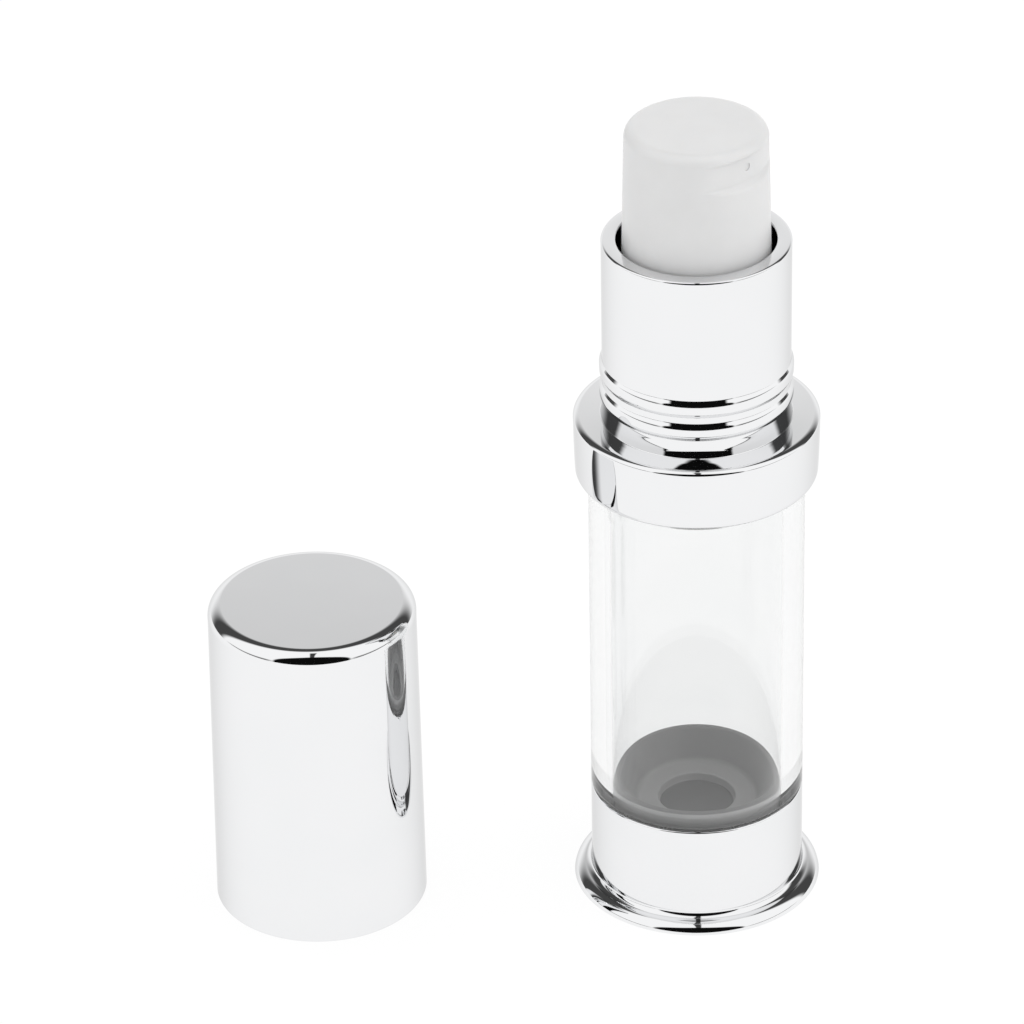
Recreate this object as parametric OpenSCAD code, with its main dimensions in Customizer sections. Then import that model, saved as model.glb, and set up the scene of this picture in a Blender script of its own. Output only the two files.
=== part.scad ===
// Airless pump bottle, 5 ml class: clear thick-walled body, bright collar and base, white
// push button, and the overcap standing mouth down beside it. Millimetres, +Z up.
// The origin is the centre of the foot, on the surface that the bottle stands on.

/* [Base] */
// Radius of the rounded foot lip
foot_r = 11.65; // [11.2:0.05:12.2]
// Height of the foot lip
lip_h = 1.0; // [0.9:0.05:1.3]
// Radius of the small lower edge of the foot lip
lip_low = 0.1; // [0.05:0.05:0.3]
// Radius of the hollow between the foot lip and the base wall
base_cove = 0.6; // [0.4:0.05:1.0]
// Height of the bright base, up to the clear body
base_h = 10.5; // [8:0.25:14]
// Wall of the base around the body
base_wall = 1.0; // [0.8:0.1:1.3]
// Height of the base's inner floor above the table
base_floor = 1.4; // [1.2:0.1:2]
// Hollow under the base, inside the foot ring
foot_recess = 0.4; // [0.2:0.1:0.6]
// Radius of the air hole in the middle of the base
vent_r = 0.6; // [0.4:0.1:1]

/* [Body] */
// Outer diameter of the clear body
body_d = 20; // [19.4:0.1:20.4]
// Wall of the clear body
body_wall = 2.0; // [1.7:0.1:2.3]
// Clear length that shows between the base and the collar
clear_len = 33.4; // [26:0.5:60]
// Thickness of the shoulder above the chamber
shoulder_t = 1.8; // [1.4:0.1:2.4]
// How far the neck stands in from the body's outside
neck_step = 1.7; // [1.6:0.05:1.9]
// Wall of the neck
neck_wall = 1.9; // [1.5:0.1:2.2]
// Height of the neck above the shoulder
neck_h = 2.6; // [2.4:0.1:3.2]
// How far the snap bead stands out from the neck
neck_bead = 0.35; // [0.25:0.05:0.4]

/* [Follower piston] */
// Height of the follower piston, from skirt to rim
follower_h = 10.3; // [8:0.1:11]
// Wall of the follower's skirt
follower_wall = 0.9; // [0.7:0.1:1.1]
// Radius of the follower's flat floor
follower_floor_r = 5.5; // [5:0.1:5.8]
// Depth of that floor below the rim
follower_dish = 2.8; // [2.2:0.1:3.2]
// Radius of the recess in the middle of the floor
recess_r = 3.65; // [3.2:0.05:4]
// Depth of that recess
recess_d = 0.8; // [0.5:0.1:1.2]

/* [Collar] */
// Height of the shoulder ring
ring_h = 6.25; // [6:0.05:7]
// Wall of the shoulder ring
ring_wall = 1.2; // [1.15:0.01:1.25]
// Thickness of the ring's top
ring_top_t = 1.0; // [0.8:0.1:1.2]
// Rounding of the ring's top edge
ring_edge = 0.6; // [0.4:0.05:1.0]
// Rounding of the ring's lower edge
ring_low_edge = 0.8; // [0.2:0.05:1.0]
// Outer radius of the neck sleeve
sleeve_r = 8.65; // [8.5:0.05:8.75]
// Wall of the neck sleeve
sleeve_wall = 1.35; // [1.2:0.05:1.4]
// Height of the neck sleeve above the ring
sleeve_h = 17.95; // [16:0.05:20]
// How much the sleeve flares out at its foot on the ring
flare_w = 0.16; // [0.1:0.02:0.4]
// Height of that flare
flare_h = 1.0; // [0.5:0.05:1.3]
// How far the two snap beads stand out from the sleeve
bead_out = 0.24; // [0.15:0.01:0.3]
// Height of each snap bead
bead_h = 1.7; // [1.4:0.1:2]
// Height of the slope above and below a bead's flat crest
bead_slope = 0.4; // [0.3:0.05:0.6]
// Height of the lower bead's middle above the ring
bead_low = 2.65; // [2.5:0.05:3.4]
// Distance between the two beads
bead_pitch = 2.35; // [2.1:0.05:2.6]

/* [Pump] */
// Travel of the button
stroke = 3.8; // [2.5:0.1:3.9]
// Bore radius of the pump chamber
chamber_r = 2.75; // [2.7:0.05:2.85]
// Wall of the pump chamber
chamber_wall = 0.8; // [0.6:0.05:0.9]
// Height of the chamber's top above the ring
chamber_up = 6.45; // [6:0.05:7]
// Depth of the pump's nose below the ring's top
chamber_down = 9.95; // [9.6:0.05:10.4]
// Thickness of the pump's flange
flange_t = 0.7; // [0.6:0.1:0.9]
// Thickness of the gasket under that flange
gasket_t = 0.5; // [0.4:0.1:0.6]
// Radius of the inlet ball
ball_r = 1.2; // [1.1:0.05:1.25]
// Radius of the inlet hole under the ball
inlet_r = 0.9; // [0.6:0.05:0.95]
// How far the ball can lift
ball_lift = 0.8; // [0.4:0.1:0.9]
// Thickness of the pump's floor and of the ball's retaining lip
cage_lip = 0.4; // [0.3:0.05:0.5]
// Wire diameter of the return spring
wire_d = 0.45; // [0.35:0.05:0.5]
// Outer radius of the return spring
spring_r = 2.2; // [2.1:0.05:2.3]
// Turns of the return spring
spring_turns = 6; // [4:1:6]
// Outer radius of the stem
stem_r = 1.5; // [1.4:0.05:1.6]
// Bore radius of the stem
stem_bore_r = 0.8; // [0.6:0.05:0.9]
// Height of the stem's top above the chamber
stem_up = 13.4; // [12:0.1:14]
// Radius of the stem's shoulder, which stops it under the chamber's cover
shoulder_r = 2.1; // [2:0.05:2.3]
// Height of the stem's shoulder
shoulder_h = 0.8; // [0.6:0.1:1]
// Height of the sliding pump piston
seal_h = 3.0; // [2.6:0.1:3.2]
// Lost motion between the stem and the pump piston, which opens the valve
valve_gap = 0.8; // [0.5:0.1:0.9]
// Thickness of the valve plug's head
plug_t = 1.0; // [0.8:0.1:1.2]
// Thickness of the chamber's cover
cover_t = 1.0; // [0.8:0.1:1.2]
// Wall of the cover's skirt
cover_wall = 0.7; // [0.6:0.05:0.9]
// Depth of the cover's skirt, down the chamber's outside
cover_skirt = 2.4; // [2.2:0.1:2.8]
// Depth of the cover's snap bead below the chamber's top
cover_snap = 1.25; // [1.1:0.05:1.5]
// Depth of the pump's plug skirt in the neck
plug_skirt = 1.2; // [1:0.1:1.6]

/* [Button] */
// Height of the button
button_h = 17.4; // [16.5:0.1:19]
// Radius of the button at its top edge
button_top_r = 6.5; // [6.3:0.05:6.6]
// How much wider the button is at its skirt
button_draft = 0.38; // [0.2:0.02:0.42]
// Rounding of the button's top edge
button_edge = 1.0; // [0.7:0.1:1.3]
// Wall of the button
button_wall = 1.1; // [0.9:0.1:1.3]
// Outer radius of the socket that takes the stem
socket_r = 2.7; // [2.4:0.1:3]
// Gap left under the button's skirt when it is pressed all the way
button_clear = 0.6; // [0.3:0.1:1]
// Direction in which the spout points, turned from the front to the right
spout_turn = 47; // [0:1:359]
// Depth of the spout below the top
spout_down = 2.1; // [1.9:0.1:2.6]
// Radius of the spout's hole
spout_r = 0.38; // [0.3:0.02:0.5]
// Depth of the scooped face around the spout
scoop_d = 0.5; // [0.3:0.05:0.6]
// Radius of the scooped face
scoop_r = 8.8; // [8.2:0.1:9.6]
// Height of the scooped face
scoop_h = 2.4; // [2:0.1:2.8]

/* [Overcap] */
// Height of the overcap
cap_h = 31.55; // [31:0.05:36]
// Outer radius of the overcap at its mouth
cap_mouth_r = 10.0; // [9.9:0.05:10.4]
// Outer radius of the overcap at its top
cap_top_r = 9.7; // [9.6:0.05:9.9]
// Rounding of the overcap's top edge
cap_edge = 1.25; // [0.8:0.05:1.4]
// Thickness of the overcap's top
cap_top_t = 1.0; // [0.8:0.1:1.1]
// How far the snap ridge stands in from the overcap's mouth bore
cap_ridge = 0.19; // [0.12:0.01:0.2]
// Where the overcap stands beside the bottle, to the left
cap_x = -35.8; // [-60:0.1:-24]
// Where the overcap stands beside the bottle, to the front
cap_y = -1.6; // [-20:0.1:20]

/* [Fits] */
// Gap between the body and the base, and of the collar and the snap ring
press_gap = 0.05; // [0.02:0.01:0.08]
// Gap all round the follower piston's lips
follower_gap = 0.05; // [0.03:0.01:0.1]
// Gap between moving pump parts
run_gap = 0.04; // [0.02:0.01:0.08]
// Gap between the overcap and the snap beads
cap_gap = 0.12; // [0.06:0.01:0.16]
// Gap between the collar's ring and the body
ring_gap = 0.13; // [0.05:0.01:0.2]

/* [Hidden] */
$fn = 96;

bright = "silver";
body_r = body_d / 2;
bore_r = body_r - body_wall;
neck_r = body_r - neck_step;
neck_bore_r = neck_r - neck_wall;
small_edge = 0.2;
base_in_r = body_r - base_wall;

// heights, from the table up
ring_z0 = base_h + clear_len;
ring_z1 = ring_z0 + ring_h;
ring_in_r = body_r + ring_gap;
ring_r = ring_in_r + ring_wall;
sleeve_in_r = sleeve_r - sleeve_wall;
sleeve_z1 = ring_z1 + sleeve_h;
web_t = 0.6;
web_z1 = ring_z1 - ring_top_t;
web_z0 = web_z1 - web_t;
flange_z0 = web_z0 - flange_t;
neck_z1 = flange_z0 - gasket_t;
neck_z0 = neck_z1 - neck_h;
ceiling_z = neck_z0 - shoulder_t;
chamber_z1 = ring_z1 + chamber_up;
nose_z0 = ring_z1 - chamber_down;
cover_z1 = chamber_z1 + cover_t;
snap_z = chamber_z1 - cover_snap;

// the pump's inside, from the nose up
cage_z0 = nose_z0 + 2 * cage_lip;
ball_rest_z = cage_z0 + sqrt(ball_r * ball_r - inlet_r * inlet_r) + run_gap / 2;
lip_hole_r = ball_r - 0.15;
cage_z1 = ball_rest_z + ball_lift + sqrt(ball_r * ball_r - lip_hole_r * lip_hole_r) + run_gap;
seat_z = cage_z1 + cage_lip;
cage_r = ball_r + 0.1;
nose_r = cage_r + chamber_wall;
stem_stop_z = chamber_z1;
seal_z1 = stem_stop_z - shoulder_h - valve_gap;
seal_z0 = seal_z1 - seal_h;
plug_z0 = seal_z0 - plug_t;
stem_z1 = chamber_z1 + stem_up;

// the button
button_z0 = cover_z1 + stroke + button_clear;
button_z1 = button_z0 + button_h;
spout_z = button_z1 - spout_down;
skirt_r = button_top_r + button_draft;

function arc(cx, cz, r, a0, a1, n = 6) =
    [for (i = [0:n]) let (a = a0 + (a1 - a0) * i / n) [cx + r * cos(a), cz + r * sin(a)]];

// one shallow snap bead with sloping sides and a flat crest, on a wall of radius wall_r
function bead(wall_r, mid_z, out, h, slope) =
    [[wall_r, mid_z - h / 2], [wall_r + out, mid_z - h / 2 + slope],
     [wall_r + out, mid_z + h / 2 - slope], [wall_r, mid_z + h / 2]];

module lathe(points) {
    rotate_extrude() polygon(points);
}

module base_cup() {
    lip_round = lip_h - lip_low;
    color(bright) difference() {
        lathe(concat(
            [[0, foot_recess], [base_in_r - 1, foot_recess], [base_in_r - 0.6, 0]],
            arc(foot_r - lip_low, lip_low, lip_low, -90, 0, 3),
            arc(foot_r - lip_round, lip_low, lip_round, 0, 90),
            arc(body_r + base_cove, lip_h + base_cove, base_cove, -90, -180),
            [[body_r, base_h - small_edge], [body_r - small_edge, base_h],
             [base_in_r, base_h], [base_in_r, base_floor], [0, base_floor]]));
        translate([0, 0, -1]) cylinder(r = vent_r, h = base_floor + 2);
    }
}

module bottle_body() {
    spigot_r = base_in_r - press_gap;
    lead = 0.4;
    color([0.93, 0.95, 0.96, 0.35]) lathe(concat(
        [[bore_r, base_floor], [spigot_r - lead, base_floor], [spigot_r, base_floor + lead],
         [spigot_r, base_h], [body_r, base_h], [body_r, neck_z0 - lead],
         [body_r - lead, neck_z0], [neck_r, neck_z0],
         [neck_r, neck_z1 - 1.4], [neck_r + neck_bead, neck_z1 - 1.1],
         [neck_r + neck_bead, neck_z1 - 0.7], [neck_r - 0.1, neck_z1], [neck_bore_r, neck_z1],
         [neck_bore_r, ceiling_z], [bore_r - 0.5, ceiling_z], [bore_r, ceiling_z - 0.5]]));
}

module follower_piston() {
    lip_r = bore_r - follower_gap;
    waist_r = lip_r - 0.2;
    skirt_in_r = waist_r - follower_wall;
    z0 = base_floor;
    z1 = z0 + follower_h;
    floor_z = z1 - follower_dish;
    pit_z = floor_z - recess_d;
    web = 0.9;
    color([0.55, 0.55, 0.55]) lathe([
        [0, pit_z - web], [recess_r, pit_z - web], [follower_floor_r, floor_z - web - 0.3],
        [skirt_in_r, floor_z - web], [skirt_in_r, z0], [lip_r - 0.1, z0], [lip_r, z0 + 0.5],
        [lip_r, z0 + 1], [waist_r, z0 + 1.3], [waist_r, z1 - 1.4], [lip_r, z1 - 1.1],
        [lip_r, z1 - 0.2], [lip_r - 0.1, z1], [lip_r - 0.7, z1],
        [follower_floor_r, floor_z], [recess_r, floor_z], [recess_r - 0.15, pit_z], [0, pit_z]]);
}

module neck_gasket() {
    color("white") translate([0, 0, neck_z1]) difference() {
        cylinder(r = neck_r - 0.1, h = gasket_t);
        translate([0, 0, -1]) cylinder(r = neck_bore_r, h = gasket_t + 2);
    }
}

module snap_ring() {
    out_r = ring_in_r - press_gap;
    in_r = neck_r + neck_bead + 0.15;
    hook_r = neck_r + neck_bead + 0.03;
    hook_z = neck_z1 - 1.5;
    color("white") lathe([
        [out_r, neck_z0 + 0.1], [out_r, web_z1],
        [chamber_r + chamber_wall + 1.2, web_z1], [chamber_r + chamber_wall + 1.2, web_z0],
        [in_r, web_z0], [in_r, hook_z + 0.2], [hook_r, hook_z], [hook_r, hook_z - 0.4],
        [in_r, neck_z0 + 0.1]]);
}

module collar() {
    lower = bead(sleeve_r, ring_z1 + bead_low, bead_out, bead_h, bead_slope);
    upper = bead(sleeve_r, ring_z1 + bead_low + bead_pitch, bead_out, bead_h, bead_slope);
    root_r = 0.1;
    color(bright) lathe(concat(
        [[ring_in_r, ring_z0]],
        arc(ring_r - ring_low_edge, ring_z0 + ring_low_edge, ring_low_edge, -90, 0),
        arc(ring_r - ring_edge, ring_z1 - ring_edge, ring_edge, 0, 90),
        arc(sleeve_r + flare_w + root_r, ring_z1 + root_r, root_r, -90, -180, 4),
        [[sleeve_r, ring_z1 + flare_h]],
        lower, upper,
        arc(sleeve_r - small_edge, sleeve_z1 - small_edge, small_edge, 0, 90, 3),
        [[sleeve_in_r + small_edge / 2, sleeve_z1], [sleeve_in_r, sleeve_z1 - small_edge / 2],
         [sleeve_in_r, web_z1], [ring_in_r, web_z1]]));
}

module pump_housing() {
    out_r = chamber_r + chamber_wall;
    plug_r = neck_bore_r - press_gap;
    color("white") difference() {
        lathe([
            [inlet_r, nose_z0], [nose_r - 0.3, nose_z0], [nose_r, nose_z0 + 0.3],
            [nose_r, cage_z1], [out_r, seat_z + 0.6], [out_r, flange_z0],
            [plug_r - flange_t, flange_z0], [plug_r - flange_t, flange_z0 - plug_skirt],
            [plug_r - 0.2, flange_z0 - plug_skirt], [plug_r, flange_z0 - plug_skirt + 0.3],
            [plug_r, flange_z0],
            [neck_r - 0.1, flange_z0], [neck_r - 0.1, web_z0], [out_r, web_z0],
            [out_r, snap_z - 0.35], [out_r + 0.12, snap_z - 0.15],
            [out_r + 0.12, snap_z + 0.15], [out_r, snap_z + 0.35],
            [out_r, chamber_z1], [chamber_r, chamber_z1],
            [chamber_r, seat_z], [lip_hole_r, seat_z], [lip_hole_r, cage_z1],
            [cage_r, cage_z1], [cage_r, cage_z0], [inlet_r, cage_z0]]);
        for (turn = [0, 90])
            rotate([0, 0, turn]) translate([-cage_r - 0.5, -0.25, cage_z1 - 0.5])
                cube([2 * cage_r + 1, 0.5, cage_lip + 1]);
    }
}

module pump_cover() {
    in_r = chamber_r + chamber_wall + press_gap;
    out_r = in_r + cover_wall;
    color("white") lathe([
        [in_r, chamber_z1 - cover_skirt], [out_r, chamber_z1 - cover_skirt],
        [out_r, cover_z1 - 0.3], [out_r - 0.3, cover_z1],
        [stem_r + run_gap, cover_z1], [stem_r + run_gap, chamber_z1], [in_r, chamber_z1],
        [in_r, snap_z + 0.45], [in_r + 0.14, snap_z + 0.2],
        [in_r + 0.14, snap_z - 0.2], [in_r, snap_z - 0.45]]);
}

module inlet_ball() {
    color("lightgray") translate([0, 0, ball_rest_z]) sphere(r = ball_r);
}

// the spring's tube, swept along its helix
module return_spring() {
    sides = 6;
    per_turn = 12;
    wire_r = wire_d / 2;
    mid_r = spring_r - wire_r;
    steps = per_turn * spring_turns;
    low = seat_z + wire_r + run_gap;
    high = plug_z0 - wire_r - run_gap;
    rise = high - low;
    function at(i) = [mid_r * cos(360 * i / per_turn), mid_r * sin(360 * i / per_turn),
                      low + rise * i / steps];
    points = [for (i = [0:steps], s = [0:sides - 1])
        let (a = 360 * i / per_turn, b = 360 * s / sides, c = at(i), w = wire_r * cos(b))
        [c[0] + w * cos(a), c[1] + w * sin(a), c[2] + wire_r * sin(b)]];
    skin = [for (i = [0:steps - 1], s = [0:sides - 1])
        let (p = i * sides + s, q = i * sides + (s + 1) % sides)
        each [[p, q, q + sides], [p, q + sides, p + sides]]];
    first = [for (s = [1:sides - 2]) [0, s + 1, s]];
    last = [for (s = [1:sides - 2]) [steps * sides, steps * sides + s, steps * sides + s + 1]];
    echo(spring_gap = rise / spring_turns - wire_d);
    color("gainsboro") polyhedron(points = points, faces = concat(skin, first, last));
}

module valve_plug() {
    pin_r = stem_bore_r - run_gap / 2;
    color("white") union() {
        lathe([
            [0, plug_z0 - 0.8], [spring_r - wire_d - 0.45, plug_z0 - 0.8],
            [spring_r - wire_d - 0.25, plug_z0 - 0.6], [spring_r - wire_d - 0.25, plug_z0],
            [spring_r, plug_z0], [spring_r, seal_z0 - 0.3], [spring_r - 0.3, seal_z0],
            [0, seal_z0]]);
        translate([0, 0, seal_z0 - 0.2]) intersection() {
            cylinder(r = pin_r, h = seal_h + 1.7);
            translate([-pin_r, -0.3, 0]) cube([2 * pin_r, 0.6, seal_h + 2]);
        }
    }
}

module pump_piston() {
    lip_r = chamber_r - run_gap;
    waist_r = lip_r - 0.35;
    in_r = stem_r + run_gap;
    color("white") lathe([
        [in_r, seal_z0], [lip_r - 0.15, seal_z0], [lip_r, seal_z0 + 0.3],
        [lip_r, seal_z0 + 0.7], [waist_r, seal_z0 + 1], [waist_r, seal_z1 - 0.9],
        [lip_r, seal_z1 - 0.6], [lip_r, seal_z1 - 0.2], [lip_r - 0.15, seal_z1],
        [in_r, seal_z1]]);
}

module stem() {
    port_r = 0.3;
    color("white") difference() {
        union() {
            translate([0, 0, seal_z0]) cylinder(r = stem_r, h = stem_z1 - seal_z0);
            translate([0, 0, stem_stop_z - shoulder_h]) cylinder(r = shoulder_r, h = shoulder_h);
        }
        translate([0, 0, seal_z0 - 1]) cylinder(r = stem_bore_r, h = stem_z1 - seal_z0 + 2);
        translate([0, 0, seal_z0 + port_r + 0.35]) rotate([90, 0, 0])
            cylinder(r = port_r, h = 2 * stem_r + 2, center = true);
    }
}

// what is left of the button's wall around the spout: a rounder drum, set back behind the
// axis, that widens again below the scoop
module scoop_drum() {
    set_back = scoop_r + scoop_d - button_top_r;
    low_z = button_z1 - button_edge - scoop_h;
    wide_r = scoop_r + button_top_r;
    rotate([0, 0, spout_turn - 90]) translate([-set_back, 0, 0]) lathe([
        [0, button_z0 - 1], [wide_r, button_z0 - 1], [wide_r, low_z - wide_r + scoop_r],
        [scoop_r, low_z], [scoop_r, button_z1 - button_edge - 0.1],
        [wide_r, button_z1 - button_edge + 0.3], [wide_r, button_z1 + 1], [0, button_z1 + 1]]);
}

module button() {
    in_top_r = button_top_r - button_wall;
    in_top_z = button_z1 - 1.2;
    floor_z = stem_z1;
    color("white") difference() {
        union() {
            intersection() {
                difference() {
                    lathe(concat([[0, button_z0], [skirt_r, button_z0]],
                        arc(button_top_r - button_edge, button_z1 - button_edge,
                            button_edge, 0, 90),
                        [[0, button_z1 - 0.12]]));
                    lathe([[0, button_z0 - 1], [skirt_r - button_wall, button_z0 - 1],
                        [skirt_r - button_wall, button_z0], [in_top_r, in_top_z], [0, in_top_z]]);
                }
                scoop_drum();
            }
            translate([0, 0, button_z0]) cylinder(r = socket_r, h = in_top_z - button_z0 + 0.1);
            rotate([0, 0, spout_turn - 90]) translate([0, 0, spout_z]) rotate([0, 90, 0])
                cylinder(r = spout_r + 0.7, h = button_top_r - scoop_d - 0.3);
        }
        translate([0, 0, button_z0 - 1])
            cylinder(r = stem_r + run_gap, h = floor_z - button_z0 + 1);
        translate([0, 0, floor_z - 1]) cylinder(r = stem_bore_r, h = spout_z - floor_z + 1);
        rotate([0, 0, spout_turn - 90]) translate([0, 0, spout_z]) rotate([0, 90, 0])
            cylinder(r = spout_r, h = button_top_r + 2);
    }
}

module cap() {
    bore_r0 = sleeve_r + bead_out + cap_gap;
    bore_r1 = sleeve_r + cap_gap;
    ridge_z = bead_low + bead_pitch / 2;
    grip_z = bead_low + bead_pitch + bead_h / 2 + 0.4;
    in_top_z = cap_h - cap_top_t;
    tilt = atan((cap_mouth_r - cap_top_r) / cap_h);
    color(bright) translate([cap_x, cap_y, 0]) lathe(concat(
        [[bore_r0, 0.2], [bore_r0 + 0.2, 0], [cap_mouth_r - 0.15, 0], [cap_mouth_r, 0.15]],
        arc(cap_top_r - cap_edge, cap_h - cap_edge, cap_edge, tilt, 90, 8),
        [[0, cap_h], [0, in_top_z], [bore_r1 - 0.6, in_top_z], [bore_r1, in_top_z - 0.6],
         [bore_r1, grip_z + 0.4], [bore_r0, grip_z],
         [bore_r0, ridge_z + 0.35], [bore_r0 - cap_ridge, ridge_z + 0.1],
         [bore_r0 - cap_ridge, ridge_z - 0.1], [bore_r0, ridge_z - 0.35]]));
}

base_cup();
bottle_body();
follower_piston();
neck_gasket();
snap_ring();
collar();
pump_housing();
pump_cover();
inlet_ball();
return_spring();
valve_plug();
pump_piston();
stem();
button();
cap();
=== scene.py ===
# %% [markdown]
# # An airless pump bottle, dressed for the camera
#
# The bottle is a small family of turned mouldings: a clear thick-walled body, a bright base and
# collar with a mirror skin, a grey follower piston, a white push button, and the overcap that
# stands beside it. Nearly every piece is round, so nearly every piece here is one section, drawn
# as a few corners, rounded and spun. The solids of the frame give each piece its place.

# %% The frame and the tools
import math

import bmesh
import bpy
from mathutils import Matrix, Vector


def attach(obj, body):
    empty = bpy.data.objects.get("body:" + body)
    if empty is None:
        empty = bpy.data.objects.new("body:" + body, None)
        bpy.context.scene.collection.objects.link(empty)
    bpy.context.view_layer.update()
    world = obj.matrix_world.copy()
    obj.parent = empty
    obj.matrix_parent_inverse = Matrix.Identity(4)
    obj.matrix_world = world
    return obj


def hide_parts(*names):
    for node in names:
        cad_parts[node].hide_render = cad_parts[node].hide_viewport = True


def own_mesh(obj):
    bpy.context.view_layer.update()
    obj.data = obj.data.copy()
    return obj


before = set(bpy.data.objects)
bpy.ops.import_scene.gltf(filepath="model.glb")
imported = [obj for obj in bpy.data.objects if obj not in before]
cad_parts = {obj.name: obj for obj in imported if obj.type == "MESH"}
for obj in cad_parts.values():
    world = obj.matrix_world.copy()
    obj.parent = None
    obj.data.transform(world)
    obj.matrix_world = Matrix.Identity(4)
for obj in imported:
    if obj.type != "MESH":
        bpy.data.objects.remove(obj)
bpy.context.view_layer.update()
scene = bpy.context.scene
scene.view_settings.view_transform = "Standard"
MM = 0.001

# %% [markdown]
# The camera stands half a metre off and looks down at 31 degrees through a long lens, so the
# bottle's sides stay nearly parallel. The camera is rolled by one degree, as the photograph was.
# Its three directions are worked out first, and its matrix is made from them.

# %% The camera
LOOK_DOWN = math.radians(30.64)
ROLL = math.radians(-1.04)
forward = Vector((0, math.cos(LOOK_DOWN), -math.sin(LOOK_DOWN)))
level = Vector((1, 0, 0))
upright = level.cross(forward)
across = level * math.cos(ROLL) + upright * math.sin(ROLL)
up = upright * math.cos(ROLL) - level * math.sin(ROLL)
lens = bpy.data.cameras.new("long_lens")
lens.lens, lens.sensor_width = 220.2, 36
lens.clip_start, lens.clip_end = 0.01, 20
camera = bpy.data.objects.new("camera", lens)
scene.collection.objects.link(camera)
turn = Matrix((across, up, -forward)).transposed().to_4x4()
camera.matrix_world = Matrix.Translation(Vector((-17.05, -497.67, 334.53)) * MM) @ turn
scene.camera = camera
print("camera looks along", [round(v, 3) for v in forward])

# %% [markdown]
# A turned piece starts as its section: corners in the XZ plane, each with its radius, its height
# and how far it is rounded. A face holds the corners while the bevel rounds them, and goes
# again. What lies on the axis would spin into nothing, so it goes too.

# %% A section with rounded corners
def section(corners, segments=8):
    """Outline of a turned piece, from corners of (radius, height, rounding) in mm."""
    mesh = bmesh.new()
    points = [mesh.verts.new((radius * MM, 0, height * MM)) for radius, height, _ in corners]
    mesh.faces.new(points)
    for point, (_, _, rounding) in zip(points, corners):
        if rounding:
            bmesh.ops.bevel(mesh, geom=[point], offset=rounding * MM, offset_type="OFFSET",
                            affect="VERTICES", segments=segments, profile=0.5, material=-1)
    bmesh.ops.delete(mesh, geom=mesh.faces[:], context="FACES_ONLY")
    on_axis = [e for e in mesh.edges if all(abs(v.co.x) < 1e-8 for v in e.verts)]
    bmesh.ops.delete(mesh, geom=on_axis, context="EDGES")
    return mesh


# %% [markdown]
# The spin carries the section an eighth of the way round the Z axis, and three copies, each of
# all that is there so far, make the full turn. That is much quicker than one long spin. The
# doubles at the joins and poles are merged before the normals are turned outwards, because a pole
# of many separate points confuses them.

# %% Spinning a section
def spun(mesh, steps=32, x=0.0, y=0.0):
    """Turns a section all the way round, with so many steps to an eighth, and places it."""
    bmesh.ops.spin(mesh, geom=mesh.verts[:] + mesh.edges[:], axis=(0, 0, 1), cent=(0, 0, 0),
                   dvec=(0, 0, 0), angle=math.tau / 8, steps=steps, use_merge=False,
                   use_duplicate=False)
    for part in (8, 4, 2):
        copy = bmesh.ops.duplicate(mesh, geom=mesh.verts[:] + mesh.edges[:] + mesh.faces[:])
        points = [g for g in copy["geom"] if isinstance(g, bmesh.types.BMVert)]
        bmesh.ops.rotate(mesh, verts=points,
                         cent=(0, 0, 0), matrix=Matrix.Rotation(math.tau / part, 3, "Z"))
    bmesh.ops.remove_doubles(mesh, verts=mesh.verts[:], dist=1e-7)
    bmesh.ops.recalc_face_normals(mesh, faces=mesh.faces[:])
    bmesh.ops.translate(mesh, verts=mesh.verts[:], vec=(x * MM, y * MM, 0))
    return mesh


# %% [markdown]
# Every finished piece rides on the body of its solid and stands for that solid, whose own mesh is
# hidden.
# The weighted normals let the long plain faces rule the shading, so a mirror wall stays a true
# mirror right up to its rounded edge.

# %% Handing a piece to the frame
def place(mesh, name, body, node, slot, finish, sharp=40):
    """Makes the object of a finished mesh, puts it on its solid's body and hides the solid's
    mesh.
    """
    data = bpy.data.meshes.new(name)
    mesh.to_mesh(data)
    mesh.free()
    data.materials.append(finish)
    data.shade_smooth()
    data.set_sharp_from_angle(angle=math.radians(sharp))
    piece = bpy.data.objects.new(name, data)
    scene.collection.objects.link(piece)
    weighted = piece.modifiers.new("true_normals", "WEIGHTED_NORMAL")
    weighted.keep_sharp, weighted.weight = True, 90
    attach(piece, body)
    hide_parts(node)
    print(name, len(data.polygons), "faces")
    return piece


# %% [markdown]
# Finishes are node trees. One function adds a node, sets its values and joins its links, and
# another turns a screen colour, as a hex code, into the linear light that the shaders work in.

# %% Helpers for finishes
def linear(code, alpha=1.0):
    """Linear colour of an sRGB hex code."""
    parts = [int(code[i:i + 2], 16) / 255 for i in (1, 3, 5)]
    return (*[p / 12.92 if p <= 0.04045 else ((p + 0.055) / 1.055) ** 2.4 for p in parts],
            alpha)


def add(tree, kind, inputs=(), **settings):
    """Adds a node with its settings; an input is a value or a socket to link from."""
    node = tree.nodes.new(kind)
    for name, value in settings.items():
        setattr(node, name, value)
    for name, value in dict(inputs).items():
        if isinstance(value, bpy.types.NodeSocket):
            tree.links.new(value, node.inputs[name])
        else:
            node.inputs[name].default_value = value
    return node


def new_finish(name):
    """An empty material with its Principled shader and the object's own coordinates."""
    finish = bpy.data.materials.new(name)
    finish.use_nodes = True
    tree = finish.node_tree
    tree.nodes.clear()
    shader = add(tree, "ShaderNodeBsdfPrincipled")
    add(tree, "ShaderNodeOutputMaterial", {"Surface": shader.outputs["BSDF"]})
    place_on_piece = add(tree, "ShaderNodeTexCoord").outputs["Object"]
    return finish, tree, shader, place_on_piece


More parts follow.
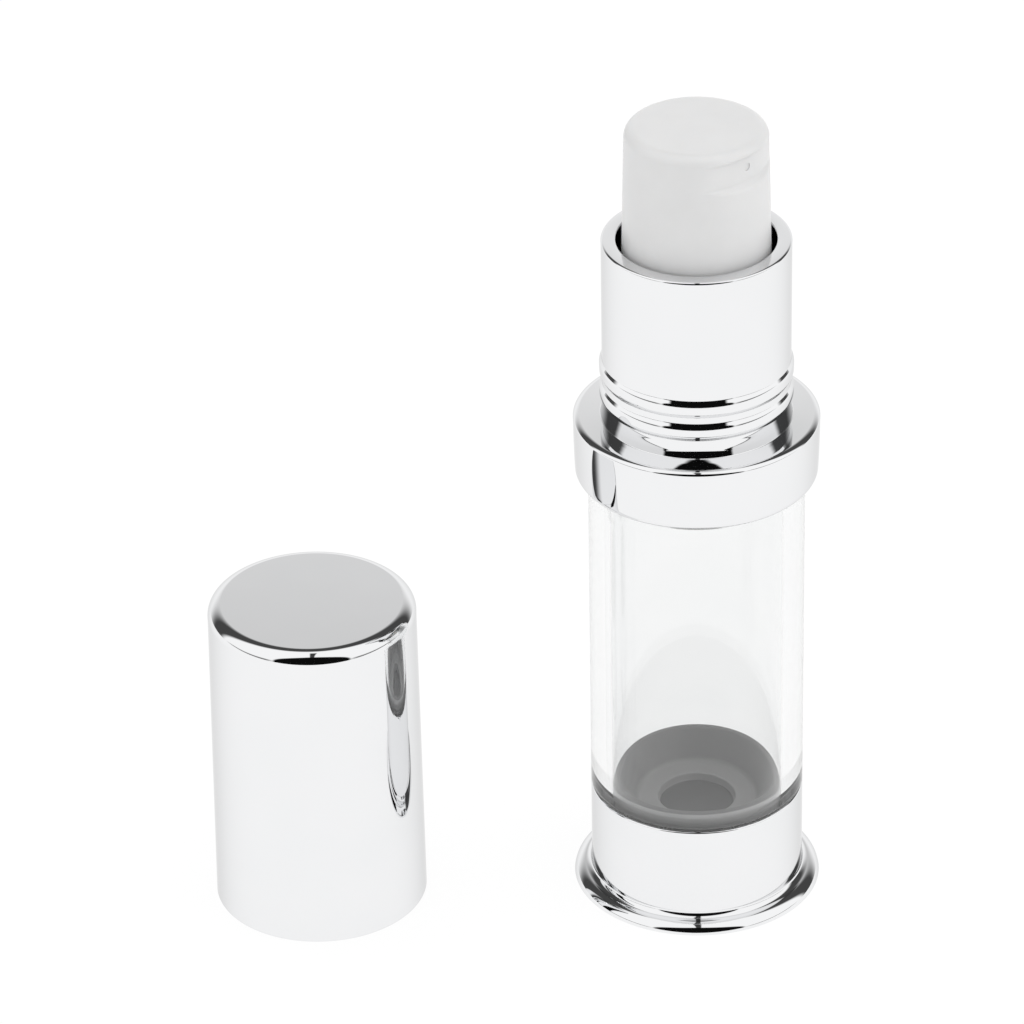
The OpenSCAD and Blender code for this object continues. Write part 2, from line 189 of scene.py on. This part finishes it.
# %% [markdown]
# **Vacuum-metallised ABS.** The collar, base and overcap are moulded ABS with a film of
# aluminium under clear lacquer. The film is a mirror, and the lacquer leaves two faint waves on
# it: a slow one from the moulding, some 7 mm long, and the finer orange peel of a sprayed coat.
# Both are thousandths of a millimetre deep, enough to make a reflected edge wander. The film is
# laid on from outside, so the inside of the base cup, below its top edge, stays bare pale ABS.

# %% The mirror skin
FILM_EDGE_R, CUP_MIDDLE, CUP_HALF = 9.72, 5.95, 4.6
mirror_skin, tree, shader, where = new_finish("metallised_abs_lacquered")
shader.inputs["Coat Roughness"].default_value = 0.03
shader.inputs["Specular Tint"].default_value = linear("#E2E2E2")
slow = add(tree, "ShaderNodeTexNoise", {"Vector": where, "Scale": 140.0, "Detail": 1.0})
peel = add(tree, "ShaderNodeTexNoise", {"Vector": where, "Scale": 1500.0, "Detail": 2.0})
tone = add(tree, "ShaderNodeMix", {"Factor": slow.outputs["Fac"], "A": linear("#EEEFF0"),
                                   "B": linear("#F2F2F3")}, data_type="RGBA")
haze = add(tree, "ShaderNodeMapRange", {"Value": peel.outputs["Fac"], "From Min": 0.3,
                                        "From Max": 0.7, "To Min": 0.01, "To Max": 0.03})
spot = add(tree, "ShaderNodeSeparateXYZ", {"Vector": where}).outputs
level_spot = add(tree, "ShaderNodeCombineXYZ", {"X": spot["X"], "Y": spot["Y"]})
from_axis = add(tree, "ShaderNodeVectorMath", {0: level_spot.outputs["Vector"]},
                operation="LENGTH")
within = add(tree, "ShaderNodeMath", {0: from_axis.outputs["Value"], 1: FILM_EDGE_R * MM},
             operation="LESS_THAN")
in_cup = add(tree, "ShaderNodeMath", {0: spot["Z"], 1: CUP_MIDDLE * MM, 2: CUP_HALF * MM},
             operation="COMPARE")
bare = add(tree, "ShaderNodeMath", {0: within.outputs[0], 1: in_cup.outputs[0]},
           operation="MULTIPLY").outputs[0]
film = add(tree, "ShaderNodeMath", {0: 1.0, 1: bare}, operation="SUBTRACT").outputs[0]
skin_tone = add(tree, "ShaderNodeMix", {"Factor": bare, "A": tone.outputs["Result"],
                                        "B": linear("#D2D2D2")}, data_type="RGBA")
gloss = add(tree, "ShaderNodeMix", {"Factor": bare, "A": haze.outputs["Result"], "B": 0.4},
            data_type="FLOAT")
coat = add(tree, "ShaderNodeMath", {0: film, 1: 0.25}, operation="MULTIPLY").outputs[0]
wave = add(tree, "ShaderNodeBump", {"Height": slow.outputs["Fac"], "Distance": 0.000006})
skin = add(tree, "ShaderNodeBump", {"Height": peel.outputs["Fac"], "Distance": 0.0000002,
                                    "Normal": wave.outputs["Normal"]})
for socket, source in (("Base Color", skin_tone.outputs["Result"]), ("Metallic", film),
                       ("Roughness", gloss.outputs["Result"]), ("Coat Weight", coat),
                       ("Normal", skin.outputs["Normal"])):
    tree.links.new(source, shader.inputs[socket])
print("finish", mirror_skin.name)

# %% [markdown]
# **Clear styrene-acrylonitrile.** The body is a 2 mm wall of water-clear SAN, polished by its
# mould. It bends light more than glass does, with an index of 1.57, and that draws the dark and
# pale lines along the edges of its wall. A slow ripple from the flow of the plastic is all that
# marks it.

# %% The clear wall
clear_wall, tree, shader, where = new_finish("clear_san_polished")
shader.inputs["Transmission Weight"].default_value = 1.0
shader.inputs["IOR"].default_value = 1.57
flow = add(tree, "ShaderNodeTexNoise", {"Vector": where, "Scale": 110.0, "Detail": 1.0})
film = add(tree, "ShaderNodeMapRange", {"Value": flow.outputs["Fac"], "To Min": 0.0,
                                        "To Max": 0.012})
tint = add(tree, "ShaderNodeMix", {"Factor": flow.outputs["Fac"], "A": linear("#F7F8F8"),
                                   "B": linear("#FBFBFB")}, data_type="RGBA")
ripple = add(tree, "ShaderNodeBump", {"Height": flow.outputs["Fac"], "Distance": 0.000003})
for socket, source in (("Base Color", tint.outputs["Result"]),
                       ("Roughness", film.outputs["Result"]),
                       ("Normal", ripple.outputs["Normal"])):
    tree.links.new(source, shader.inputs[socket])
print("finish", clear_wall.name)

# %% [markdown]
# **Moulded polyolefins.** The button is white polypropylene, the follower grey polyethylene and
# the inner parts plain polypropylene and polyethylene. All are slightly milky, with soft
# highlights and a fine mould texture, so one recipe makes them with different colours. Its
# mottling is some 3 mm wide, and its grain some 0.15 mm, as coarse as it needs to show.

# %% The milky plastics
def moulded(name, dark, light, rough, milky, grain=0.0000015):
    """A polyolefin moulding: two close tones, a soft gloss and a fine mould grain."""
    finish, tree, shader, where = new_finish(name)
    shader.inputs["IOR"].default_value = 1.5
    shader.inputs["Subsurface Weight"].default_value = milky
    shader.inputs["Subsurface Radius"].default_value = (1.0, 0.9, 0.8)
    shader.inputs["Subsurface Scale"].default_value = 0.0006
    cloud = add(tree, "ShaderNodeTexNoise", {"Vector": where, "Scale": 320.0, "Detail": 3.0})
    fine = add(tree, "ShaderNodeTexNoise", {"Vector": where, "Scale": 6500.0, "Detail": 2.0})
    tone = add(tree, "ShaderNodeMix", {"Factor": cloud.outputs["Fac"], "A": linear(dark),
                                       "B": linear(light)}, data_type="RGBA")
    gloss = add(tree, "ShaderNodeMapRange", {"Value": cloud.outputs["Fac"], "From Min": 0.3,
                                             "From Max": 0.7, "To Min": rough - 0.04,
                                             "To Max": rough + 0.04})
    skin = add(tree, "ShaderNodeBump", {"Height": fine.outputs["Fac"], "Distance": grain})
    for socket, source in (("Base Color", tone.outputs["Result"]),
                           ("Roughness", gloss.outputs["Result"]),
                           ("Normal", skin.outputs["Normal"])):
        tree.links.new(source, shader.inputs[socket])
    return finish


button_white = moulded("white_polypropylene_soft_gloss", "#DFDFDF", "#E7E7E7", 0.36, 0.15)
piston_grey = moulded("grey_polyethylene_satin", "#9C9C9C", "#A6A6A6", 0.42, 0.0)
inner_white = moulded("natural_polypropylene_moulded", "#E6E6E3", "#EFEFED", 0.4, 0.2)
seal_white = moulded("low_density_polyethylene_seal", "#DDDDD9", "#E8E8E4", 0.5, 0.2)

# %% [markdown]
# ** The follower's painted shade and light.** Its grey gets painted shade and light. The sloping
# wall has painted shade, the disc in the recess the darkest painted shade, and the outer side
# painted light, so it is palest. Height and distance from the axis tell these places apart.

# %% The follower's painted shade and light
tree = piston_grey.node_tree
shader = next(n for n in tree.nodes if n.type == "BSDF_PRINCIPLED")
plain = shader.inputs["Base Color"].links[0].from_socket
spot = add(tree, "ShaderNodeSeparateXYZ",
           {"Vector": add(tree, "ShaderNodeTexCoord").outputs["Object"]}).outputs
flat_place = add(tree, "ShaderNodeCombineXYZ", {"X": spot["X"], "Y": spot["Y"]})
out_from_axis = add(tree, "ShaderNodeVectorMath", {0: flat_place.outputs["Vector"]},
                    operation="LENGTH").outputs["Value"]
# Painted shade on the sloping wall and in the recess, painted light on the outer side.
places = (("sloping wall", 0.65, ((spot["Z"], 8.9, 9.4),)),
          ("gate's disc", 0.36, ((spot["Z"], 8.2, 8.12),)),
          ("outer side", 2.4, ((out_from_axis, 7.66, 7.72), (spot["Z"], 11.68, 11.6))))
for name, tone, limits in places:
    full = 1.0
    for value, plain_at, full_at in limits:
        limit = add(tree, "ShaderNodeMapRange", {"Value": value, "From Min": plain_at * MM,
                                                 "From Max": full_at * MM})
        full = add(tree, "ShaderNodeMath", {0: full, 1: limit.outputs["Result"]},
                   operation="MULTIPLY").outputs[0]
    step = add(tree, "ShaderNodeMapRange", {"Value": full, "To Min": 1.0, "To Max": tone})
    grey = add(tree, "ShaderNodeCombineXYZ", {axis: step.outputs["Result"] for axis in "XYZ"})
    plain = add(tree, "ShaderNodeVectorMath", {0: plain, 1: grey.outputs["Vector"]},
                operation="MULTIPLY").outputs["Vector"]
tree.links.new(plain, shader.inputs["Base Color"])
print("follower painted shade and light:", ", ".join(name for name, _, _ in places))

# %% [markdown]
# **Stainless spring wire.** Drawn wire keeps fine lines along its length. Noise stretched along
# Z stands for them on the ball and the wire alike, because neither shows from outside.

# %% The steel
spring_steel, tree, shader, where = new_finish("stainless_wire_drawn")
shader.inputs["Metallic"].default_value = 1.0
stretch = add(tree, "ShaderNodeMapping", {"Vector": where, "Scale": (1.0, 1.0, 0.15)})
lines = add(tree, "ShaderNodeTexNoise", {"Vector": stretch.outputs["Vector"], "Scale": 9000.0,
                                         "Detail": 2.0})
tone = add(tree, "ShaderNodeMix", {"Factor": lines.outputs["Fac"], "A": linear("#B4B4B6"),
                                   "B": linear("#CBCBCC")}, data_type="RGBA")
worn = add(tree, "ShaderNodeMapRange", {"Value": lines.outputs["Fac"], "To Min": 0.18,
                                        "To Max": 0.34})
tree.links.new(tone.outputs["Result"], shader.inputs["Base Color"])
tree.links.new(worn.outputs["Result"], shader.inputs["Roughness"])
print("finish", spring_steel.name)

# %% [markdown]
# **The base.** A bright cup that takes the body's spigot. Its wall runs down into a hollow
# corner and then the rounded lip of the foot, and a small hole in its floor lets air in under
# the follower. The lip is the widest part of the bottle, and its side leans in a little.

# %% The bright base
FOOT_R, LIP_H, LIP_LEAN, BODY_R, BASE_H = 11.65, 1.0, 0.28, 10.0, 10.5
VENT_R, HOLLOW, CUP_R, CUP_FLOOR = 0.6, 0.4, 9.0, 1.4
base = spun(section([
    (VENT_R, HOLLOW, 0), (8.0, HOLLOW, 0), (8.4, 0, 0.1), (FOOT_R, 0, 0.04),
    (FOOT_R - LIP_LEAN, LIP_H, 0.76), (BODY_R, LIP_H, 0.6), (BODY_R, BASE_H, 0.2),
    (CUP_R, BASE_H, 0.05), (CUP_R, CUP_FLOOR, 0), (VENT_R, CUP_FLOOR, 0)], segments=12))
base = place(base, "bright_base", "bottle", "base_cup", "bright_shell", mirror_skin)

# %% [markdown]
# **The clear body.** Its wall is 2 mm thick all the way up, with a thinner spigot inside the
# base and a stepped neck inside the collar. It is modelled with that true thickness, because
# light bends at both faces: the bore draws its own line some 2 mm inside the outline. A clear
# wall would still cast the shadow of a solid one, so its shadow is switched off.

# %% The clear body
BORE_R, SPIGOT_R, NECK_R, BEAD_R, THROAT_R = 8.0, 8.95, 8.3, 8.65, 6.4
CEILING, SHOULDER, NECK_TOP = 42.95, 44.75, 47.35
body = spun(section([
    (BORE_R, CUP_FLOOR, 0), (SPIGOT_R - 0.4, CUP_FLOOR, 0), (SPIGOT_R, 1.8, 0),
    (SPIGOT_R, BASE_H, 0), (BODY_R, BASE_H, 0.2), (BODY_R, 44.35, 0.2), (9.6, SHOULDER, 0.1),
    (NECK_R, SHOULDER, 0.2), (NECK_R, 45.95, 0), (BEAD_R, 46.25, 0.1), (BEAD_R, 46.65, 0.1),
    (8.2, NECK_TOP, 0), (THROAT_R, NECK_TOP, 0.1), (THROAT_R, CEILING, 0.15),
    (7.8, CEILING, 0.05), (BORE_R, 42.75, 0.05)]))
body = place(body, "clear_body", "bottle", "bottle_body", "clear_body", clear_wall)
body.visible_shadow = False

# %% [markdown]
# **The follower piston.** It rises as the lotion leaves, so its two lips run on the bore. From
# above it is a dish: a rim, a sloping wall, a flat floor and a shallow round recess.

# %% The grey follower
LIP_R, WAIST_R, SKIRT_R, DISH_R, RECESS_R = 7.95, 7.75, 6.85, 5.5, 3.65
RIM, DISH_FLOOR, RECESS_FLOOR, WEB_LOW = 11.7, 8.9, 8.1, 7.2
follower = spun(section([
    (0, WEB_LOW, 0), (RECESS_R, WEB_LOW, 0.2), (DISH_R, 7.7, 0.3), (SKIRT_R, 8.0, 0.2),
    (SKIRT_R, CUP_FLOOR, 0), (7.85, CUP_FLOOR, 0), (LIP_R, 1.9, 0), (LIP_R, 2.4, 0),
    (WAIST_R, 2.7, 0), (WAIST_R, 10.3, 0), (LIP_R, 10.6, 0), (LIP_R, 11.5, 0),
    (7.85, RIM, 0.08), (7.25, RIM, 0.15), (DISH_R, DISH_FLOOR, 0.25),
    (RECESS_R, DISH_FLOOR, 0.15), (3.5, RECESS_FLOOR, 0.15), (0, RECESS_FLOOR, 0)]))
follower = place(follower, "grey_follower", "follower", "follower_piston", "grey_piston",
                 piston_grey)

# %% [markdown]
# **The collar.** One moulding: the flat-topped shoulder ring with its rounded edge and a little
# draft in its lower half, a short flare at the sleeve's foot, two low beads that the overcap
# snaps on, and the tall neck sleeve around the button. A bead has sloping sides and a flat crest,
# with soft corners between them.

# %% The bright collar
RING_R, RING_TOP, RING_DRAFT, SLEEVE_R, SLEEVE_TOP = 11.33, 50.15, 0.16, 8.65, 68.1
RING_LOW, RING_BORE_R, SLEEVE_BORE_R, WEB_TOP = 43.9, 10.13, 7.3, 49.15
BEAD_H, BEAD_OUT, BEAD_SLOPE, BEAD_ROUND = 1.7, 0.24, 0.4, 0.16
bead_corners = []
for middle in (RING_TOP + 2.65, RING_TOP + 5.0):
    bead_corners += [(SLEEVE_R, middle - BEAD_H / 2, 0.04),
                     (SLEEVE_R + BEAD_OUT, middle - BEAD_H / 2 + BEAD_SLOPE, BEAD_ROUND),
                     (SLEEVE_R + BEAD_OUT, middle + BEAD_H / 2 - BEAD_SLOPE, BEAD_ROUND),
                     (SLEEVE_R, middle + BEAD_H / 2, 0.04)]
collar = spun(section([
    (RING_BORE_R, RING_LOW, 0.05), (RING_R - RING_DRAFT, RING_LOW, 0.7), (RING_R, 47.3, 2.4),
    (RING_R, RING_TOP, 0.6), (SLEEVE_R + 0.15, RING_TOP, 0.08),
    (SLEEVE_R, RING_TOP + 1.0, 0.45), *bead_corners, (SLEEVE_R, SLEEVE_TOP, 0.2),
    (SLEEVE_BORE_R, SLEEVE_TOP, 0.1), (SLEEVE_BORE_R, WEB_TOP, 0), (RING_BORE_R, WEB_TOP, 0)],
    segments=16), steps=40)
collar = place(collar, "bright_collar", "pump_head", "collar", "bright_shell", mirror_skin)

# %% [markdown]
# **The push button.** A slightly tapered drum with a socket for the stem inside. Around the
# spout its wall is scooped flatter, and the scoop ends in a small ledge below. The wall gets
# many rows first, and each point that stands outside the scoop's larger drum is drawn in to it.
# The last fraction of a millimetre is blended, since the mould's edges there are soft.

# %% The button, before its scoop
BUTTON_TOP, BUTTON_LOW, BUTTON_R, BUTTON_SKIRT_R = 79.4, 62.0, 6.5, 6.88
button = section([
    (0, 79.28, 0), (5.3, BUTTON_TOP, 0.1), (BUTTON_R, BUTTON_TOP, 1.0),
    (BUTTON_SKIRT_R, BUTTON_LOW, 0.1), (5.78, BUTTON_LOW, 0.1), (5.4, 78.2, 0.2),
    (2.7, 78.2, 0.2), (2.7, BUTTON_LOW, 0.1), (1.54, BUTTON_LOW, 0.1), (1.54, 70.0, 0),
    (0.8, 70.0, 0), (0.8, 77.3, 0), (0, 77.3, 0)], segments=12)
wall = [e for e in button.edges if min(v.co.x for v in e.verts) > 6.4 * MM
        and abs(e.verts[0].co.z - e.verts[1].co.z) > 5 * MM]
bmesh.ops.subdivide_edges(button, edges=wall, cuts=150)
button = spun(button, steps=45)
print("button has", len(button.verts), "points")

# %% [markdown]
# The spout points to the front right, 47 degrees round. The scoop's drum is rounder than the
# button and set back behind its axis. Above and below the scoop that drum widens quickly, which
# makes the ledge and the slope above it.

# %% The scoop
SPOUT_TURN = math.radians(47)
SPOUT_Z, SCOOP_R, SCOOP_DEEP, SCOOP_LOW, SCOOP_HIGH = 77.3, 8.8, 0.5, 76.0, 78.3
BLEND = 0.12 * MM
spout_way = Vector((math.sin(SPOUT_TURN), -math.cos(SPOUT_TURN), 0))
drum_axis = spout_way * (BUTTON_R - SCOOP_R - SCOOP_DEEP) * MM


def drum_radius(height):
    """Radius of the scoop's drum at a height, in mm."""
    return SCOOP_R + max(0.0, SCOOP_LOW - height) + max(0.0, height - SCOOP_HIGH) * 1.2


for point in button.verts:
    flat = Vector((point.co.x, point.co.y, 0))
    if flat.length > 5.9 * MM and flat.dot(spout_way) > 0 and point.co.z > 70 * MM:
        arm = flat - drum_axis
        limit = drum_radius(point.co.z / MM) * MM
        over = arm.length - limit
        if over > -BLEND:
            back = over if over > BLEND else (over + BLEND) ** 2 / (4 * BLEND)
            drawn = drum_axis + arm * (1 - back / arm.length)
            point.co.x, point.co.y = drawn.x, drawn.y
bmesh.ops.recalc_face_normals(button, faces=button.faces[:])

# %% [markdown]
# The spout is a small round hole in the scooped face. The faces inside its circle go, the rim
# that they leave is drawn onto the circle, and an extrusion carries the rim inwards, only as deep
# as it shows.

# %% The spout
SPOUT_R, SPOUT_DEEP = 0.38, 0.12
spout_side = spout_way.cross(Vector((0, 0, 1)))


def on_face(place):
    """Where a point lies on the scooped face, seen along the spout's axis."""
    return Vector((place.dot(spout_side), place.z - SPOUT_Z * MM))


gone = [f for f in button.faces if f.calc_center_median().dot(spout_way) > 5.7 * MM
        and on_face(f.calc_center_median()).length < SPOUT_R * MM]
bmesh.ops.delete(button, geom=gone, context="FACES")
rim = [e for e in button.edges if e.is_boundary]
for point in {v for e in rim for v in e.verts}:
    spot = on_face(point.co)
    point.co += (spout_side * spot.x + Vector((0, 0, spot.y))) * (SPOUT_R * MM / spot.length - 1)
grown = bmesh.ops.extrude_edge_only(button, edges=rim)["geom"]
bmesh.ops.translate(button, verts=[g for g in grown if isinstance(g, bmesh.types.BMVert)],
                    vec=spout_way * -SPOUT_DEEP * MM)
bmesh.ops.holes_fill(button, edges=[e for e in button.edges if e.is_boundary], sides=0)
bmesh.ops.recalc_face_normals(button, faces=button.faces[:])
print("spout rim of", len(rim), "edges")

# %% The button, placed
button = place(button, "push_button", "push_button", "button", "white_button", button_white, 60)

# %% [markdown]
# **The overcap.** A plain bright cup, slightly narrower at its closed end. It stands mouth down
# beside the bottle. Inside it has the ridge that snaps over the collar's beads.

# %% The overcap
CAP_X, CAP_Y, CAP_H, CAP_R, CAP_TOP_R = -35.8, -1.6, 31.55, 10.0, 9.7
MOUTH_R, RIDGE_R, GRIP_R, CAP_CEILING = 9.01, 8.82, 8.77, 30.55
cap = spun(section([
    (MOUTH_R, 0.2, 0), (9.21, 0, 0), (CAP_R, 0, 0.15), (CAP_TOP_R, CAP_H, 1.25), (0, CAP_H, 0),
    (0, CAP_CEILING, 0), (GRIP_R, CAP_CEILING, 0.6), (GRIP_R, 6.65, 0), (MOUTH_R, 6.25, 0),
    (MOUTH_R, 4.175, 0), (RIDGE_R, 3.925, 0), (RIDGE_R, 3.725, 0), (MOUTH_R, 3.475, 0)],
    segments=16), 40, CAP_X, CAP_Y)
cap = place(cap, "bright_overcap", "overcap", "cap", "bright_shell", mirror_skin)

# %% [markdown]
# ** The return spring.** A circle of wire is spun round the axis while it climbs, which makes a
# helix. Its coils close up as the button goes down, and it gets a mesh of its own.

# %% The return spring
WIRE_R, COIL_R, TURNS, STEPS = 0.225, 1.975, 6, 36
SPRING_LOW, SPRING_HIGH, SEAT, STROKE = 43.9, 50.735, 43.635, 3.8
coil = bmesh.new()
bmesh.ops.create_circle(coil, segments=16, radius=WIRE_R * MM, cap_ends=False)
bmesh.ops.rotate(coil, verts=coil.verts[:], cent=(0, 0, 0),
                 matrix=Matrix.Rotation(math.pi / 2, 3, "X"))
bmesh.ops.translate(coil, verts=coil.verts[:], vec=(COIL_R * MM, 0, SPRING_LOW * MM))
climb = (SPRING_HIGH - SPRING_LOW) * MM / (TURNS * STEPS)
bmesh.ops.spin(coil, geom=coil.verts[:] + coil.edges[:], axis=(0, 0, 1), cent=(0, 0, 0),
               dvec=(0, 0, climb), angle=math.tau * TURNS, steps=TURNS * STEPS,
               use_merge=False, use_duplicate=False)
bmesh.ops.holes_fill(coil, edges=[e for e in coil.edges if e.is_boundary], sides=16)
bmesh.ops.recalc_face_normals(coil, faces=coil.faces[:])
spring = place(coil, "coil_spring", "pump_head", "return_spring", "steel_wire", spring_steel)
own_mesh(spring)

# %% [markdown]
# The other inner pieces keep their solids' shapes, which are right as they are. They get the
# milky plastics and the steel.

# %% Finishes for the inner pieces
inner = {"neck_gasket": seal_white, "snap_ring": inner_white, "pump_housing": inner_white,
         "pump_cover": inner_white, "inlet_ball": spring_steel, "valve_plug": inner_white,
         "pump_piston": seal_white, "stem": inner_white}
for name, finish in inner.items():
    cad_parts[name].material_slots[0].material = finish
print("inner pieces:", ", ".join(inner))

# %% [markdown]
# **The floor** is a white sweep that keeps the bottle's soft shadow. It ends a hand's width in
# front of the bottle, below the picture, as the mirrors show. A white that is meant to
# stay white is given to the rays that see it directly, by eye, in a mirror or through the clear
# wall, and the light on the bottle stays plain.

# %% The floor
ground = bmesh.new()
bmesh.ops.create_grid(ground, x_segments=8, y_segments=8, size=0.5)
bmesh.ops.scale(ground, verts=ground.verts[:], vec=(4.0, 2.6, 1))
bmesh.ops.translate(ground, verts=ground.verts[:], vec=(0, 1.13, 0))
floor_data = bpy.data.meshes.new("white_sweep")
ground.to_mesh(floor_data)
ground.free()
floor = bpy.data.objects.new("white_sweep", floor_data)
scene.collection.objects.link(floor)
paper = bpy.data.materials.new("white_paper_sweep")
paper.use_nodes = True
tree = paper.node_tree
tree.nodes.clear()
seen = add(tree, "ShaderNodeLightPath").outputs
eye_or_mirror = add(tree, "ShaderNodeMath", {0: seen["Is Camera Ray"],
                                             1: seen["Is Glossy Ray"]}, operation="ADD")
direct = add(tree, "ShaderNodeMath", {0: eye_or_mirror.outputs[0],
                                      1: seen["Is Transmission Ray"]},
             operation="ADD", use_clamp=True)
matt = add(tree, "ShaderNodeBsdfDiffuse", {"Color": linear("#F6F6F6")})
glow = add(tree, "ShaderNodeEmission", {"Color": linear("#FFFFFF"), "Strength": 1.03})
share = add(tree, "ShaderNodeMath", {0: direct.outputs[0], 1: 0.9}, operation="MULTIPLY")
sheet = add(tree, "ShaderNodeMixShader", {0: share.outputs[0], 1: matt.outputs["BSDF"],
                                          2: glow.outputs["Emission"]})
add(tree, "ShaderNodeOutputMaterial", {"Surface": sheet.outputs["Shader"]})
floor_data.materials.append(paper)
print("floor", [round(v, 2) for v in floor.dimensions])

# %% [markdown]
# **The studio** is a light tent, drawn in the world by direction, and only mirrors show its
# parts. It is white all round, and four things are dark in it. In front is the arched opening
# that the camera looks in by, with a slit above where its flaps meet. Behind, a dark frame stands
# round the pale back wall. Low down at the sides runs the seam where the walls meet the table.

# %% Directions in the tent
world = bpy.data.worlds.new("light_tent")
scene.world = world
world.use_nodes = True
tree = world.node_tree
tree.nodes.clear()
DEG = math.pi / 180
direction = add(tree, "ShaderNodeTexCoord").outputs["Generated"]
way = add(tree, "ShaderNodeSeparateXYZ", {"Vector": direction}).outputs
height = add(tree, "ShaderNodeMath", {0: way["Z"]}, operation="ARCSINE").outputs[0]
side = add(tree, "ShaderNodeMath", {0: way["X"]}, operation="ABSOLUTE").outputs[0]
front = add(tree, "ShaderNodeMath", {0: way["Y"], 1: -1.0}, operation="MULTIPLY").outputs[0]
turn_from_camera = add(tree, "ShaderNodeMath", {0: side, 1: front},
                       operation="ARCTAN2").outputs[0]
leaning = add(tree, "ShaderNodeVectorMath", {0: direction, 1: (0, 0.966, -0.259)},
              operation="DOT_PRODUCT").outputs["Value"]
print("directions: height, side, front, turn from the camera and leaning")

# %% [markdown]
# The opening is 80 degrees wide at the table and 55 degrees high, and its sides curve in like an
# ellipse's. Each dark part has a few limits, where a direction's value passes softly from light
# to dark, and the part is dark where all its limits are. The back wall's outline leans.

# %% The dark parts of the tent
raised = add(tree, "ShaderNodeMath", {0: height, 1: 0.0}, operation="MAXIMUM").outputs[0]
in_opening = add(tree, "ShaderNodeCombineXYZ", {"X": turn_from_camera, "Y": raised})
as_share = add(tree, "ShaderNodeVectorMath", {0: in_opening.outputs["Vector"],
                                              1: (1 / (40 * DEG), 1 / (55 * DEG), 0)},
               operation="MULTIPLY")
arch = add(tree, "ShaderNodeVectorMath", {0: as_share.outputs["Vector"]},
           operation="LENGTH").outputs["Value"]
dark_parts = (
    ("camera opening", 0.996, ((arch, 1.05, 0.95),)),
    ("slit over it", 0.95, ((side, 0.04, 0.022), (height, 48 * DEG, 56 * DEG),
                            (front, -0.05, 0.05))),
    ("frame behind", 0.94, ((way["Y"], 0.2, 0.36), (leaning, 0.81, 0.49),
                            (height, -6 * DEG, 2 * DEG))),
    ("seam at the table", 0.8, ((height, -18 * DEG, -11 * DEG), (height, 6 * DEG, 1 * DEG),
                                (turn_from_camera, 36 * DEG, 50 * DEG),
                                (turn_from_camera, 102 * DEG, 86 * DEG))))
level_of_tent = 1.03
for name, depth, limits in dark_parts:
    dark = depth
    for value, light_at, dark_at in limits:
        limit = add(tree, "ShaderNodeMapRange", {"Value": value, "From Min": light_at,
                                                 "From Max": dark_at},
                    interpolation_type="SMOOTHSTEP")
        dark = add(tree, "ShaderNodeMath", {0: dark, 1: limit.outputs["Result"]},
                   operation="MULTIPLY").outputs[0]
    left = add(tree, "ShaderNodeMath", {0: 1.0, 1: dark}, operation="SUBTRACT").outputs[0]
    level_of_tent = add(tree, "ShaderNodeMath", {0: level_of_tent, 1: left},
                        operation="MULTIPLY").outputs[0]
    print("tent:", name)

# %% [markdown]
# Mirrors get the drawn tent, and rays through the clear wall get it with paler dark parts, which
# is matched. Every other ray gets a plain white, a little less of it where it lights matt
# surfaces, so that a colour renders about as it is written.

# %% The tent's light
seen = add(tree, "ShaderNodeLightPath").outputs
even = add(tree, "ShaderNodeMapRange", {"Value": seen["Is Diffuse Ray"], "To Min": 1.0,
                                        "To Max": 0.92})
through = add(tree, "ShaderNodeMath", {0: seen["Is Transmission Ray"], 1: 0.3},
              operation="MULTIPLY").outputs[0]
drawn = add(tree, "ShaderNodeMath", {0: seen["Is Glossy Ray"], 1: through},
            operation="SUBTRACT", use_clamp=True).outputs[0]
strength = add(tree, "ShaderNodeMix", {"Factor": drawn,
                                       "A": even.outputs["Result"], "B": level_of_tent},
               data_type="FLOAT")
tent = add(tree, "ShaderNodeBackground", {"Color": linear("#FFFFFF"),
                                          "Strength": strength.outputs["Result"]})
add(tree, "ShaderNodeOutputWorld", {"Surface": tent.outputs["Background"]})
print("tent drawn with", len(tree.nodes), "nodes")

# %% [markdown]
# One broad lamp high at the right gives the pale button its form. It is left out of mirrors,
# where it would show as a square.

# %% The broad lamp
broad = bpy.data.lights.new("broad_lamp", "AREA")
broad.shape, broad.size, broad.size_y, broad.energy = "RECTANGLE", 0.6, 0.5, 1.0
lamp = bpy.data.objects.new("broad_lamp", broad)
scene.collection.objects.link(lamp)
spot = Vector((0.55, -0.2, 0.75))
lamp.location = spot
lamp.rotation_mode = "QUATERNION"
lamp.rotation_quaternion = (Vector((0, 0, 0.04)) - spot).to_track_quat("-Z", "Y")
lamp.visible_glossy = False
print("lamp at", [round(v, 2) for v in spot])
